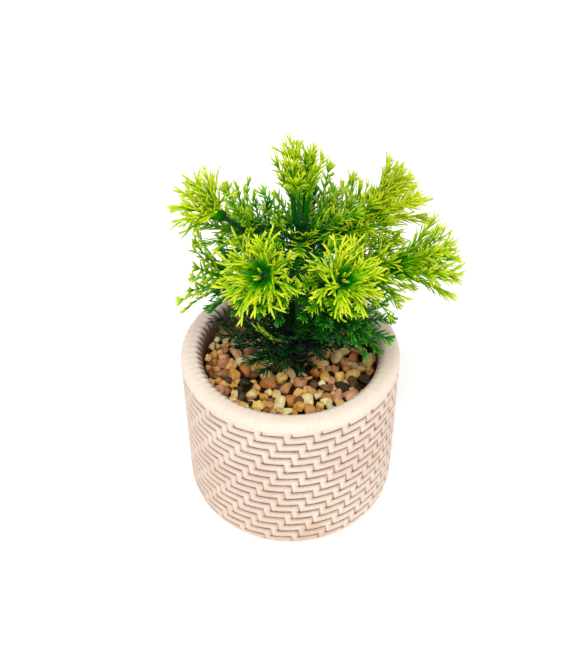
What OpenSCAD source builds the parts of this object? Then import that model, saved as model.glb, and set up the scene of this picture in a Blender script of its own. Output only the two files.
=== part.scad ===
// Artificial tabletop tree: a cast pot, bonded gravel and a stem with whorled branches.
// Millimetres, +Z up. The origin is the middle of the flat foot of the pot.

/* [Pot] */
// Outer diameter just under the lip
pot_d = 92; // [84:1:110]
// Height of the pot
pot_h = 81; // [72:1:95]
// Thickness of the wall at the lip
wall_t = 9; // [6:0.5:11]
// How much less the radius is at the foot than under the lip
wall_draft = 0.6; // [0:0.1:2]
// Rounding between the wall and the flat foot
foot_round = 12; // [6:0.5:16]
// Rounding of both edges of the lip
lip_round = 3.6; // [1.5:0.1:4]
// Thickness of the floor
floor_t = 8; // [5:0.5:12]
// Rounding inside, between the floor and the wall
inside_round = 6; // [2:0.5:10]
// Height of a row of the woven relief
row_h = 4.3; // [3.6:0.1:6]
// Blocks in each row of the relief
row_blocks = 24; // [16:1:28]
// Depth of the grooves between the blocks
groove_t = 0.6; // [0.3:0.05:0.8]

/* [Gravel] */
// Depth of the bonded bed under the top of the lip
bed_drop = 15; // [12:0.5:20]
// Thickness of the bonded bed
bed_t = 4; // [2:0.5:8]
// Widest half width of a stone
stone_r = 2.75; // [2:0.05:3.2]
// Height of the tallest stone
stone_h = 5; // [3:0.1:6]
// Clearance between the fillings and what holds them
fill_gap = 0.2; // [0.1:0.05:0.5]

/* [Stem] */
// Diameter of the main stem
stem_d = 4.2; // [3.4:0.1:5]
// How far the stem stands to the right of the middle of the pot
stem_shift = 4; // [0:0.5:8]
// How deep the pick end goes into the foam
pick_depth = 30; // [15:1:38]
// Length of the point on the pick end
pick_point = 6; // [3:0.5:10]
// Radial clearance of the pick in the foam
pick_gap = 0.06; // [0.03:0.01:0.1]
// Height of the hub of the crown above the lip
crown_rise = 65; // [60:1:80]

/* [Branches] */
// Diameter of a branch stem
branch_d = 2; // [1.6:0.1:2.4]
// Diameter of the ball at the root of a branch
ball_d = 3.4; // [3:0.1:4]
// Radial clearance of the ball in its cup
ball_gap = 0.06; // [0.03:0.01:0.1]
// Wall of a cup
cup_t = 0.9; // [0.6:0.05:1.4]
// Half angle of the open mouth of a cup
cup_mouth = 62; // [55:1:70]
// Reach of the longest branch, from its root to the hub of its end whorl
branch_reach = 38; // [34:1:42]
// How far a branch can be bent down from where it stands
bend_range = 10; // [4:1:16]

/* [Whorls] */
// Wall of a hub round its stem
hub_wall = 1.2; // [0.8:0.1:1.8]
// Length of a hub along its stem
hub_h = 3; // [2:0.1:4]
// Clearance between a hub and its stem
hub_gap = 0.08; // [0.04:0.01:0.2]
// Straps round the hub of a full whorl
full_straps = 8; // [5:1:9]
// Pairs of side needles on a strap of a full whorl
full_pairs = 4; // [2:1:5]
// Straps round the hub of an inner whorl
inner_straps = 7; // [5:1:8]
// Pairs of side needles on a strap of an inner whorl
inner_pairs = 3; // [2:1:4]
// Length of the longest straps at the end of a branch
end_len = 26; // [20:0.5:28]
// Length of the straps of the crown
crown_len = 30; // [20:0.5:32]
// Width of a strap where it leaves the hub
strap_w = 1.7; // [1.2:0.1:2]
// Thickness of a strap
strap_t = 0.9; // [0.6:0.05:1.2]
// Width of a side needle at its root
needle_w = 1.3; // [0.8:0.1:1.6]

/* [Hidden] */
pot_r = pot_d / 2;
foot_r = pot_r - wall_draft;
inner_r = pot_r - wall_t;
bed_top = pot_h - bed_drop;
bed_r = inner_r - fill_gap;
foam_top = bed_top - bed_t - fill_gap;
foam_bottom = floor_t + fill_gap;
stem_r = stem_d / 2;
branch_r = branch_d / 2;
ball_r = ball_d / 2;
cup_r = ball_r + ball_gap;
cup_outer_r = cup_r + cup_t;
pick_end = foam_top - pick_depth;
crown_z = pot_h + crown_rise;
lip_r = min(lip_round, wall_t / 2 - 0.1);

// Outside of the wall, from under the lip to the start of the rounding at the foot
wall_top = [pot_r, pot_h - lip_r];
wall_foot = [foot_r, foot_round];
wall_len = norm(wall_top - wall_foot);
foot_arc = foot_round * PI / 2;
// Plain band over the first row of the relief
weave_start = 2.1;
// The rows end about halfway round the foot
weave_rows = round((wall_len + foot_arc / 2 - weave_start) / row_h);
weave_end = weave_start + weave_rows * row_h;
// Turn of the first row round the pot
weave_turn = 270.9;
// Corners under a groove, in quarters of a block, and their depths as shares of the groove's.
// A joint comes down to the first corner, and the next joint leaves at the third
UNDER_AT = [0, 2.5, 3, 3.5];
UNDER_CUT = [1, 1, 1, 0];
// Corners over a groove and their depths
OVER_AT = [0, 0.5, 1, 3.5];
OVER_CUT = [1, 0, 0, 0];
// Height of the step at a groove
groove_step = 0.5;
// The relief lies on a core. The core's face is this far behind the wall's, and the relief's back further
core_drop = groove_t + 0.4;
back_drop = core_drop + 0.6;
// Edges of the core's recess under the lip and at the foot
recess_top = 0.6;
recess_end = weave_end + 0.5;
// The relief runs on this far past both edges, inside the core
tuck = 0.4;
// How far the relief stays behind the lip
lip_shade = 0.25;

// Steps of a quarter round in an outline
arc_steps = 6;
// Points that each pair of needles adds to a strap: two sections of four and two needle ends
pair_points = 10;
// Facets of round solids
round_fn = 64;

// Turn from one stone to the next round the stem, the golden angle
stone_turn = 137.508;
// Area that a stone takes, as the radius of a disc
stone_pitch = stone_r * 1.16;
// Stones keep this far from the middle of the stem
stone_clear = stem_r + stone_r + 0.6;
// Gap between a stone and the bed
stone_seat = 0.15;
// Sides of a stone
stone_sides = 5;
// Least height and least half width of a stone, as shares of the widest
least_h = 0.72;
least_r = 0.78;
// Heights of the two rings of a stone, as shares of its height
ring_at = [0.3, 0.72];
stone_rows = floor(pow((bed_r - stone_r - fill_gap) / stone_pitch, 2));
stones = [for (k = [1 : stone_rows]) if (norm(stone_place(k) - [stem_shift, 0]) > stone_clear) k];

// Branches: heading round the stem, rise over level, height of the root over the lip as a share of the
// crown's, reach to the hub of the end whorl as a share of the longest, strap length of the end whorl and
// of the inner whorl likewise, form of the end whorl as an index of END_SPREADS
BRANCHES = [
    [198, 46, 0.731, 1.000, 0.808, 0.654, 0],
    [243, 43, 0.562, 0.882, 0.846, 0.769, 0],
    [299, 48, 0.446, 0.987, 0.769, 0.500, 0],
    [22, 30, 0.708, 0.605, 0.962, 0.500, 1],
    [349, 23, 0.531, 0.816, 0.962, 0.538, 1],
    [180, 15, 0.462, 0.579, 0.846, 0.654, 2],
    [317, 15, 0.377, 0.526, 0.654, 0.385, 2],
    [133, 14, 0.554, 0.684, 0.808, 0.654, 2],
    [75, 12, 0.615, 0.605, 0.808, 0.654, 2]
];
// Opening at the hub and at the strap ends, from the stem: wide rosettes, slim plumes, loose fronds
END_SPREADS = [[18, 84], [12, 42], [22, 50]];
// The inner whorl of a branch stands this share of the reach from the root
inner_share = 0.5;
// Opening of an inner whorl
inner_spread = [18, 44];
// First and last pair of needles along a strap
needle_span = [0.34, 0.86];
// A strap loses these shares of its width and of its thickness towards the tip
strap_taper = 0.45;
strap_thinning = 0.3;
// A needle reaches ahead by this share of its strap
needle_ahead = 0.2;
// A needle stands aside by this share of its distance from the axis
needle_aside = 0.26;

// Whorls on the main stem under the branches: height of the hub over the lip as a share of the crown's,
// strap length as a share of the crown's, opening at both ends
STEM_WHORLS = [
    [-0.062, 0.733, [60, 78]],
    [0.062, 0.967, [54, 74]],
    [0.138, 0.567, [42, 64]]
];
// Room between the stones and the smallest whorl
foot_clear = 2;
// Smallest whorl, over the stones: height of the hub over the bed, strap length, opening
foot_rise = stone_h + foot_clear;
foot_len = 8;
foot_spread = [82, 100];
// Opening of the whorl at the top
crown_spread = [6, 28];
// Whorl under the top one: how far below, strap length and opening
collar_drop = 10.5;
collar_len = 24;
collar_spread = [18, 42];
// Turn of every second whorl on the main stem, so that its straps stand between the others
half_turn = 180 / full_straps;
// Turn of the inner whorl against the end whorl
inner_turn = 90 / inner_straps;
// Radius of the pick's end as a share of the stem's
pick_tip = 0.33;

// Points on a quarter round about a centre, from one angle to another
function arc(centre, r, from, to) = [
    for (k = [0 : arc_steps]) centre + r * [cos(from + (to - from) * k / arc_steps),
                                            sin(from + (to - from) * k / arc_steps)]
];

// Repeatable number from 0 to 1 for a stone and a trait
function chance(k, trait) = abs(sin(k * 78.233 + trait * 37.719) * 43.7585) % 1;

// Place of a stone round the middle of the pot
function stone_place(k) = stone_pitch * sqrt(k) * [cos(k * stone_turn), sin(k * stone_turn)];

// Points of a stone: the pole below, two uneven rings, the pole above
function stone_points(k) = let (
    h = stone_h * (least_h + (1 - least_h) * chance(k, 1)),
    at = stone_place(k)
) concat(
    [[at[0], at[1], bed_top + stone_seat]],
    [for (ring = [0, 1], s = [0 : stone_sides - 1]) let (
        r = stone_r * (least_r + (1 - least_r) * chance(k, 2 + s + ring * stone_sides)),
        turn = (s + ring * 0.5 + chance(k, 20)) * 360 / stone_sides
    ) [at[0] + r * cos(turn), at[1] + r * sin(turn),
       bed_top + stone_seat + h * ring_at[ring]]],
    [[at[0], at[1], bed_top + stone_seat + h]]
);

// Triangles of one stone whose points start at an index
function stone_faces(at) = [
    for (s = [0 : stone_sides - 1]) let (
        next = (s + 1) % stone_sides,
        low = at + 1,
        high = at + 1 + stone_sides,
        top = at + 1 + 2 * stone_sides
    ) each [
        [at, low + s, low + next],
        [low + s, high + s, low + next],
        [low + next, high + s, high + next],
        [high + s, top, high + next]
    ]
];

// A strap is [hub radius, length, opening at both ends, pairs of needles, turn round the hub].
// Middle line of a strap at t from 0 to 1, as distance from the axis and height over the hub's foot
function strap_line(t, strap) = let (
    from = [strap[0], hub_h / 2],
    mid = from + strap[1] / 2 * [sin(strap[2][0]), cos(strap[2][0])],
    to = mid + strap[1] / 2 * [sin(strap[2][1]), cos(strap[2][1])]
) (1 - t) * (1 - t) * from + 2 * t * (1 - t) * mid + t * t * to;

// Direction of a strap at t, out and up
function strap_way(t, strap) = let (
    way = (1 - t) * [sin(strap[2][0]), cos(strap[2][0])] + t * [sin(strap[2][1]), cos(strap[2][1])]
) way / norm(way);

// A point beside a strap's middle line: side along the tangent, rise along the strap's upper normal
function strap_point(t, strap, side, rise, ahead) = let (
    on = strap_line(t, strap),
    way = strap_way(t, strap),
    turn = strap[4],
    out = on[0] + way[0] * ahead - way[1] * rise,
    up = on[1] + way[1] * ahead + way[0] * rise
) [out * cos(turn) - side * sin(turn), out * sin(turn) + side * cos(turn), up];

// Place of a pair of needles along a strap
function needle_at(pair, pairs) = needle_span[0] + (needle_span[1] - needle_span[0]) * pair / (pairs - 1);

// Width of a strap along its length
function strap_width(t) = strap_w * (1 - strap_taper * t);

// Four corners of a strap's section
function strap_ring(t, strap) = let (w = strap_width(t) / 2, h = strap_t * (1 - strap_thinning * t) / 2) [
    strap_point(t, strap, w, -h, 0),
    strap_point(t, strap, -w, -h, 0),
    strap_point(t, strap, -w, h, 0),
    strap_point(t, strap, w, h, 0)
];

// How far a needle stands to the side: it fans out with its distance from the axis
function needle_side(t, strap) = strap_width(t) / 2 + needle_aside * strap_line(t, strap)[0];

// Points of one strap: two sections and two needle ends for each pair, then the tip
function strap_points(strap) = concat(
    [for (pair = [0 : strap[3] - 1]) let (
        t = needle_at(pair, strap[3]),
        half = needle_w / strap[1] / 2,
        side = needle_side(t, strap),
        ahead = needle_ahead * strap[1]
    ) each concat(
        strap_ring(t - half, strap),
        strap_ring(t + half, strap),
        [strap_point(t, strap, -side, 0, ahead), strap_point(t, strap, side, 0, ahead)]
    )],
    [strap_point(1, strap, 0, 0, 0)]
);

// Two triangles over one side between two sections
function side_faces(a, b, k) = let (n = (k + 1) % 4) [[a[k], a[n], b[n]], [a[k], b[n], b[k]]];

// Four triangles of a needle that stands on one side between two sections
function needle_faces(a, b, k, tip) = let (n = (k + 1) % 4) [
    [a[k], a[n], tip], [a[n], b[n], tip], [b[n], b[k], tip], [b[k], a[k], tip]
];

// Triangles of one strap that grows from four hub corners, with its points from an index on
function strap_faces(root, at, pairs) = concat(
    [for (pair = [0 : pairs - 1]) let (
        first = at + pair * pair_points,
        before = pair == 0 ? root : [for (k = [0 : 3]) first - pair_points + 4 + k],
        a = [for (k = [0 : 3]) first + k],
        b = [for (k = [0 : 3]) first + 4 + k]
    ) each concat(
        [for (k = [0 : 3]) each side_faces(before, a, k)],
        side_faces(a, b, 0), needle_faces(a, b, 1, first + 8),
        side_faces(a, b, 2), needle_faces(a, b, 3, first + 9)
    )],
    [for (k = [0 : 3]) let (last = at + (pairs - 1) * pair_points + 4)
        [last + k, last + (k + 1) % 4, at + pairs * pair_points]]
);

// One moulded whorl on its hub, opening along +Z, with a bore for a stem of a given radius
module whorl(stem_radius, len, spread, n, pairs, turn) {
    bore = (stem_radius + hub_gap) / cos(180 / n);
    hub_r = bore + hub_wall;
    corner = [for (k = [0 : n - 1]) turn + (k + 0.5) * 360 / n];
    hub_points = concat(
        [for (c = corner) [hub_r * cos(c), hub_r * sin(c), 0]],
        [for (c = corner) [hub_r * cos(c), hub_r * sin(c), hub_h]],
        [for (c = corner) [bore * cos(c), bore * sin(c), 0]],
        [for (c = corner) [bore * cos(c), bore * sin(c), hub_h]]
    );
    hub_faces = [for (k = [0 : n - 1]) let (b = (k + n - 1) % n) each [
        [b, k, 2 * n + k], [b, 2 * n + k, 2 * n + b],
        [n + k, n + b, 3 * n + b], [n + k, 3 * n + b, 3 * n + k],
        [2 * n + b, 2 * n + k, 3 * n + k], [2 * n + b, 3 * n + k, 3 * n + b]
    ]];
    strap_count = pair_points * pairs + 1;
    polyhedron(
        points = concat(hub_points, [for (k = [0 : n - 1])
            each strap_points([hub_r, len, spread, pairs, turn + k * 360 / n])]),
        faces = concat(hub_faces, [for (k = [0 : n - 1]) let (b = (k + n - 1) % n)
            each strap_faces([k, b, n + b, n + k], 4 * n + k * strap_count, pairs)])
    );
}

// Moves to the main stem at a height over the lip
module on_stem(rise) {
    translate([stem_shift, 0, pot_h + rise]) children();
}

// Distance of a ball's middle from the middle of the main stem
function root_out() = stem_r + cup_r;

// Puts +Z along a branch, with its root ball at the origin, dipped by an angle
module on_branch(b, dip) {
    on_stem(b[2] * crown_rise) rotate([0, 0, b[0]]) translate([root_out(), 0, 0]) {
        rotate([0, 90 - b[1] + dip, 0]) children();
    }
}

// Angle round the foot's rounding at a way down the wall
function foot_turn(v) = max(0, (v - wall_len) / foot_round * 180 / PI);

// Point on the outside at a way down the wall from the lip, set back by a depth
function wall_point(v, depth) = let (
    a = foot_turn(v),
    on = a > 0 ? wall_foot + foot_round * [cos(a) - 1, -sin(a)]
               : wall_top + v / wall_len * (wall_foot - wall_top),
    out = a > 0 ? [cos(a), -sin(a)]
                : [wall_top[1] - wall_foot[1], wall_foot[0] - wall_top[0]] / wall_len
) on - depth * out;

// A wall point turned round the pot by a number of quarter blocks
function wall_turned(v, depth, quarters) = let (
    at = wall_point(v, depth),
    turn = weave_turn + quarters * 90 / row_blocks
) [at[0] * cos(turn), at[0] * sin(turn), at[1]];

// Ring of block corners at a row's groove, with the place and the depth of each kind of corner
function weave_ring(row, v, places, cuts) = [
    for (j = [0 : 4 * row_blocks - 1]) let (corner = j + 2 * row, kind = corner % 4)
        wall_turned(v, cuts[kind], 4 * floor(corner / 4) + places[kind] - 3 - row)
];

// Even ring at one depth
function plain_ring(v, depth) = [for (j = [0 : 4 * row_blocks - 1]) wall_turned(v, depth, j - 1)];

// Triangles between two rings of n points, the second one shifted by some points
function ring_faces(a, b, shift, n) = [
    for (j = [0 : n - 1]) let (next = (j + 1) % n, low = (j + shift) % n, after = (j + 1 + shift) % n)
        each [[a + j, a + next, b + after], [a + j, b + after, b + low]]
];

// Woven relief as a sleeve: rows of blocks, each row a quarter of a block further round than the one above
module weave() {
    n = 4 * row_blocks;
    rings = concat(
        [plain_ring(recess_top - tuck, back_drop)],
        [weave_ring(1, recess_top + tuck / 2, OVER_AT, lip_shade * [1, 1, 1, 1])],
        [weave_ring(1, weave_start - groove_step / 2, OVER_AT, [0, 0, 0, 0])],
        [for (row = [1 : weave_rows]) each [
            weave_ring(row, weave_start + (row - 1) * row_h + groove_step / 2, UNDER_AT, groove_t * UNDER_CUT),
            weave_ring(row + 1, weave_start + row * row_h - groove_step / 2, OVER_AT, groove_t * OVER_CUT)
        ]],
        [weave_ring(weave_rows + 1, recess_end - tuck / 2, OVER_AT, lip_shade * [1, 1, 1, 1])],
        [plain_ring(recess_end + tuck, back_drop)],
        [plain_ring(wall_len, back_drop)]
    );
    last = len(rings) - 1;
    color("linen") polyhedron(
        points = [for (ring = rings) each ring],
        faces = [for (k = [0 : last]) each ring_faces(
            k * n, (k + 1) % (last + 1) * n, k == last - 2 ? weave_rows : 0, n)]
    );
}

module pot() {
    foot_middle = wall_foot - [foot_round, 0];
    outline = concat(
        [[0, 0]],
        arc(foot_middle, foot_round, -90, -foot_turn(recess_end)),
        arc(foot_middle, foot_round - core_drop, -foot_turn(recess_end), 0),
        [wall_point(recess_top, core_drop), wall_point(recess_top, 0)],
        arc([pot_r - lip_r, pot_h - lip_r], lip_r, 0, 90),
        arc([inner_r + lip_r, pot_h - lip_r], lip_r, 90, 180),
        arc([inner_r - inside_round, floor_t + inside_round], inside_round, 0, -90),
        [[0, floor_t]]
    );
    color("linen") union() {
        rotate_extrude($fn = round_fn) polygon(outline);
        weave();
    }
}

module foam_plug() {
    plug_r = inner_r - fill_gap;
    outline = concat(
        [[0, foam_bottom]],
        arc([plug_r - inside_round, foam_bottom + inside_round], inside_round, -90, 0),
        [[plug_r, foam_top], [0, foam_top]]
    );
    color("darkolivegreen") difference() {
        rotate_extrude($fn = round_fn) polygon(outline);
        translate([stem_shift, 0, pick_end - fill_gap]) {
            cylinder(r = stem_r + pick_gap, h = pick_depth + 2 * fill_gap + bed_t, $fn = round_fn);
        }
    }
}

module gravel_bed() {
    color("rosybrown") difference() {
        translate([0, 0, bed_top - bed_t]) cylinder(r = bed_r, h = bed_t, $fn = round_fn);
        translate([stem_shift, 0, bed_top - 2 * bed_t]) {
            cylinder(r = stem_r + pick_gap, h = 3 * bed_t, $fn = round_fn);
        }
    }
}

// Stones whose turn in a row of seven is in a list, as separate solids of one colour
module stone_group(turns) {
    mine = [for (k = stones) if (len([for (t = turns) if (k % 7 == t) t]) > 0) k];
    per_stone = 2 * stone_sides + 2;
    polyhedron(
        points = [for (k = mine) each stone_points(k)],
        faces = [for (k = [0 : len(mine) - 1]) each stone_faces(k * per_stone)]
    );
}

module stones_cream() {
    color("wheat") stone_group([0, 2, 5]);
}

module stones_tan() {
    color("peru") stone_group([1, 3, 6]);
}

module stones_dark() {
    color("dimgray") stone_group([4]);
}

// Cup that holds the ball of a branch
module cup_outside(b) {
    on_branch(b, 0) sphere(r = cup_outer_r, $fn = round_fn);
}

// Room of the ball and of the stem as it is bent
module cup_inside(b) {
    mouth_h = 2 * cup_outer_r;
    on_branch(b, bend_range / 2) {
        sphere(r = cup_r, $fn = round_fn);
        cylinder(r1 = 0, r2 = mouth_h * tan(cup_mouth), h = mouth_h, $fn = round_fn);
    }
}

module main_stem() {
    color("darkgreen") difference() {
        union() {
            translate([stem_shift, 0, pick_end + pick_point]) {
                cylinder(r = stem_r, h = crown_z + hub_h - pick_end - pick_point, $fn = round_fn);
            }
            translate([stem_shift, 0, pick_end]) {
                cylinder(r1 = stem_r * pick_tip, r2 = stem_r, h = pick_point, $fn = round_fn);
            }
            for (b = BRANCHES) cup_outside(b);
        }
        for (b = BRANCHES) cup_inside(b);
    }
}

module foot_whorl() {
    color("mediumseagreen") on_stem(foot_rise - bed_drop) {
        whorl(stem_r, foot_len, foot_spread, inner_straps, inner_pairs, inner_turn);
    }
}

module stem_whorl(k) {
    w = STEM_WHORLS[k - 1];
    color("seagreen") on_stem(w[0] * crown_rise) {
        whorl(stem_r, w[1] * crown_len, w[2], full_straps, full_pairs, k * half_turn);
    }
}

module collar_whorl() {
    color("forestgreen") on_stem(crown_rise - collar_drop) {
        whorl(stem_r, collar_len, collar_spread, full_straps, full_pairs, half_turn);
    }
}

module crown_whorl() {
    color("yellowgreen") on_stem(crown_rise) {
        whorl(stem_r, crown_len, crown_spread, full_straps, full_pairs, 0);
    }
}

module branch_stem(k) {
    b = BRANCHES[k - 1];
    color("green") on_branch(b, 0) {
        union() {
            sphere(r = ball_r, $fn = round_fn);
            cylinder(r = branch_r, h = b[3] * branch_reach + hub_h, $fn = round_fn);
        }
    }
}

module inner_whorl(k) {
    b = BRANCHES[k - 1];
    color("green") on_branch(b, 0) translate([0, 0, b[3] * branch_reach * inner_share]) {
        whorl(branch_r, b[5] * end_len, inner_spread, inner_straps, inner_pairs, inner_turn);
    }
}

module end_whorl(k) {
    b = BRANCHES[k - 1];
    color("yellowgreen") on_branch(b, 0) translate([0, 0, b[3] * branch_reach]) {
        whorl(branch_r, b[4] * end_len, END_SPREADS[b[6]], full_straps, full_pairs, 0);
    }
}

pot();
foam_plug();
gravel_bed();
stones_cream();
stones_tan();
stones_dark();
main_stem();
foot_whorl();
stem_whorl(1);  // low_whorl_1
stem_whorl(2);  // low_whorl_2
stem_whorl(3);  // mid_whorl
collar_whorl();
crown_whorl();
for (k = [1 : len(BRANCHES)]) {
    branch_stem(k);
    inner_whorl(k);
    end_whorl(k);
}
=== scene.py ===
"""Looks of the artificial tabletop tree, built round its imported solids.

Helpers work in millimetres and meshes are stored in metres. +Z is up and -Y faces the camera.
"""
import math
import random

import bpy
import numpy as np
from mathutils import Matrix, Vector, noise


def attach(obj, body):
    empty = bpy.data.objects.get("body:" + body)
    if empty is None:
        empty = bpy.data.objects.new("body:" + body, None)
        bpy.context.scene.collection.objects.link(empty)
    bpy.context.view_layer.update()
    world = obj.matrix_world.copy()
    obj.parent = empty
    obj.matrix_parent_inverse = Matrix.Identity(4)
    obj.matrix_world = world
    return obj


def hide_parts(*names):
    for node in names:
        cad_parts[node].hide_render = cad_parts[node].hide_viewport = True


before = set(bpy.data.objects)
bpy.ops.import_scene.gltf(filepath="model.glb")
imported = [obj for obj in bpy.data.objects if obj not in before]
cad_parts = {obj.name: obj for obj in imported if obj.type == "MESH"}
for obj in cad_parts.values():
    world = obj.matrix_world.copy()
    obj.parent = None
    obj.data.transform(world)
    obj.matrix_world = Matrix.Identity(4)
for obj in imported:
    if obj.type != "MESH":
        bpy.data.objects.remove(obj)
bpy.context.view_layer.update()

MM = 0.001

# Sizes that the looks share with the solids, in millimetres
POT_R, POT_H, WALL, DRAFT = 46.0, 81.0, 9.0, 0.6
FOOT_ROUND, LIP_ROUND, FLOOR, INSIDE_ROUND = 12.0, 3.6, 8.0, 6.0
INNER_R = POT_R - WALL
BED_TOP = 66.0
STONE_R, STONE_PITCH, STONE_CLEAR, STONE_SEAT = 2.75, 3.19, 5.45, 0.15
STONE_EDGE, STONE_TURN = 0.4, math.radians(137.508)
STEM_X, STEM_R, BRANCH_R = 4.0, 2.1, 1.0
HUB_H, HUB_WALL, HUB_GAP = 3.0, 1.2, 0.08
CROWN_RISE = 65.0


# Mesh helpers

def srgb(r, g, b):
    """Linear colour of a display colour given in 0 to 255."""
    out = []
    for v in (r, g, b):
        v /= 255.0
        out.append(v / 12.92 if v <= 0.04045 else ((v + 0.055) / 1.055) ** 2.4)
    return (*out, 1.0)


def smooth_step(low, high, x):
    t = np.clip((np.asarray(x, float) - low) / (high - low), 0, 1)
    return t * t * (3 - 2 * t)


def unit(v):
    return v / np.linalg.norm(v)


def new_object(name, verts, faces, material, paint=None):
    """Smooth mesh object from millimetres, with an optional colour attribute for its material."""
    mesh = bpy.data.meshes.new(name)
    mesh.from_pydata((np.asarray(verts, float) * MM).tolist(), [], faces)
    if paint is not None:
        layer = mesh.color_attributes.new("paint", "FLOAT_COLOR", "POINT")
        rgba = np.ones((len(paint), 4), np.float32)
        rgba[:, :3] = paint
        layer.data.foreach_set("color", rgba.ravel())
    mesh.polygons.foreach_set("use_smooth", np.ones(len(mesh.polygons), bool))
    mesh.materials.append(material)
    mesh.update()
    obj = bpy.data.objects.new(name, mesh)
    bpy.context.scene.collection.objects.link(obj)
    return obj


def dress(obj, body, node):
    """Let a piece ride on a body and stand for a node of the solids."""
    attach(obj, body)
    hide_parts(node)


# Materials

class Nodes:
    """Short way to write a node material."""

    def __init__(self, name):
        self.mat = bpy.data.materials.new(name)
        self.mat.use_nodes = True
        self.tree = self.mat.node_tree
        self.shader = self.tree.nodes["Principled BSDF"]
        self.coords = self.tree.nodes.new("ShaderNodeTexCoord")

    def add(self, kind, **values):
        node = self.tree.nodes.new(kind)
        for key, value in values.items():
            setattr(node, key, value)
        return node

    def link(self, a, b):
        self.tree.links.new(a, b)

    def noise(self, scale, detail=3.0, rough=0.55, distortion=0.0):
        node = self.add("ShaderNodeTexNoise")
        node.inputs["Scale"].default_value = scale
        node.inputs["Detail"].default_value = detail
        node.inputs["Roughness"].default_value = rough
        node.inputs["Distortion"].default_value = distortion
        self.link(self.coords.outputs["Object"], node.inputs["Vector"])
        return node.outputs["Fac"]

    def ramp(self, fac, stops):
        node = self.add("ShaderNodeValToRGB")
        ramp = node.color_ramp
        while len(ramp.elements) < len(stops):
            ramp.elements.new(0.5)
        for element, (pos, colour) in zip(ramp.elements, stops):
            element.position = pos
            element.color = colour
        self.link(fac, node.inputs["Fac"])
        return node.outputs["Color"]

    def math(self, op, a, b, clamp=False):
        node = self.add("ShaderNodeMath", operation=op, use_clamp=clamp)
        for socket, value in zip(node.inputs, (a, b)):
            if isinstance(value, (int, float)):
                socket.default_value = value
            else:
                self.link(value, socket)
        return node.outputs[0]

    def mix(self, fac, a, b, blend="MIX"):
        node = self.add("ShaderNodeMix", data_type="RGBA", blend_type=blend)
        for socket, value in ((node.inputs[0], fac), (node.inputs[6], a), (node.inputs[7], b)):
            if isinstance(value, (int, float, tuple)):
                socket.default_value = value
            else:
                self.link(value, socket)
        return node.outputs[2]

    def paint(self):
        node = self.add("ShaderNodeAttribute", attribute_name="paint")
        split = self.add("ShaderNodeSeparateColor")
        self.link(node.outputs["Color"], split.inputs["Color"])
        return node.outputs["Color"], split.outputs

    def bump(self, height, strength, distance):
        node = self.add("ShaderNodeBump")
        node.inputs["Strength"].default_value = strength
        node.inputs["Distance"].default_value = distance
        self.link(height, node.inputs["Height"])
        self.link(node.outputs["Normal"], self.shader.inputs["Normal"])

    def finish(self, colour, roughness, specular):
        self.link(colour, self.shader.inputs["Base Color"])
        if isinstance(roughness, float):
            self.shader.inputs["Roughness"].default_value = roughness
        else:
            self.link(roughness, self.shader.inputs["Roughness"])
        self.shader.inputs["Specular IOR Level"].default_value = specular
        return self.mat


def pot_material():
    """Chalky cast: cream and pink clouds, tan stains, painted brown shade in the creases and inside the pot.
    """
    n = Nodes("cast_pot")
    _, part = n.paint()
    # crease and inside carry painted shade, in the grooves and ribs and inside the pot; low carries the tan
    # stains and marks the woven wall
    crease, inside, low = part[0], part[1], part[2]
    smooth = n.ramp(n.noise(38.0, 4.0, 0.6), [(0.36, srgb(246, 226, 211)), (0.62, srgb(249, 234, 219))])
    # The woven wall takes a slightly darker copy of the lip's cream: painted shade on the wall
    woven = n.ramp(n.noise(30.0, 4.0, 0.6), [(0.36, srgb(241, 215, 198)), (0.62, srgb(249, 232, 216))])
    clouds = n.mix(n.math("MULTIPLY", low, 8.0, clamp=True), smooth, woven)
    spots = n.ramp(n.noise(62.0, 3.0, 0.6), [(0.50, (0, 0, 0, 1)), (0.68, (1, 1, 1, 1))])
    stain = n.math("MULTIPLY", n.math("MULTIPLY", spots, low), 0.7)
    body = n.mix(stain, clouds, srgb(234, 197, 170))
    speck = n.ramp(n.noise(900.0, 2.0, 0.7), [(0.30, srgb(238, 214, 198)), (0.45, (1, 1, 1, 1))])
    body = n.mix(0.4, body, speck, "MULTIPLY")
    # Painted shade: brown in the grooves of the weave and the ribs of the lip
    crease_shade = n.math("MULTIPLY", crease, n.math("ADD", n.noise(300.0, 2.0), 0.7), clamp=True)
    body = n.mix(crease_shade, body, srgb(96, 50, 42))
    # Painted shade inside the pot and on the inner edge of the lip
    body = n.mix(n.math("MULTIPLY", inside, 0.92), body, srgb(112, 62, 34))
    n.bump(n.noise(1500.0, 4.0, 0.65), 0.35, 0.00025)
    return n.finish(body, n.math("ADD", n.math("MULTIPLY", n.noise(500.0), 0.2), 0.62), 0.3)


def leaf_material(name, stops):
    """Moulded foliage: dark at the root of a strap and bright at the needle ends, partly the moulding's own
    two tones and partly painted shade and light set whorl by whorl.
    """
    n = Nodes(name)
    _, part = n.paint()
    # The first channel is brightness: the moulding's two tones with painted shade and painted light laid in
    tip, strap_tone, needle_tone = part[0], part[1], part[2]
    drift = n.math("MULTIPLY", n.math("SUBTRACT", n.noise(260.0, 2.0), 0.5), 0.2)
    own = n.math("MULTIPLY", n.math("SUBTRACT", needle_tone, 0.5), 0.22)
    colour = n.ramp(n.math("ADD", tip, n.math("ADD", drift, own)), stops)
    tone = n.ramp(strap_tone, [(0.0, (0.74, 0.81, 0.76, 1)), (1.0, (1.1, 1.06, 1.0, 1))])
    colour = n.mix(1.0, colour, tone, "MULTIPLY")
    n.bump(n.noise(1400.0, 2.0), 0.22, 0.0002)
    rough = n.math("ADD", n.math("MULTIPLY", n.noise(700.0), 0.18), 0.32)
    return n.finish(colour, rough, 0.28)


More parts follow.
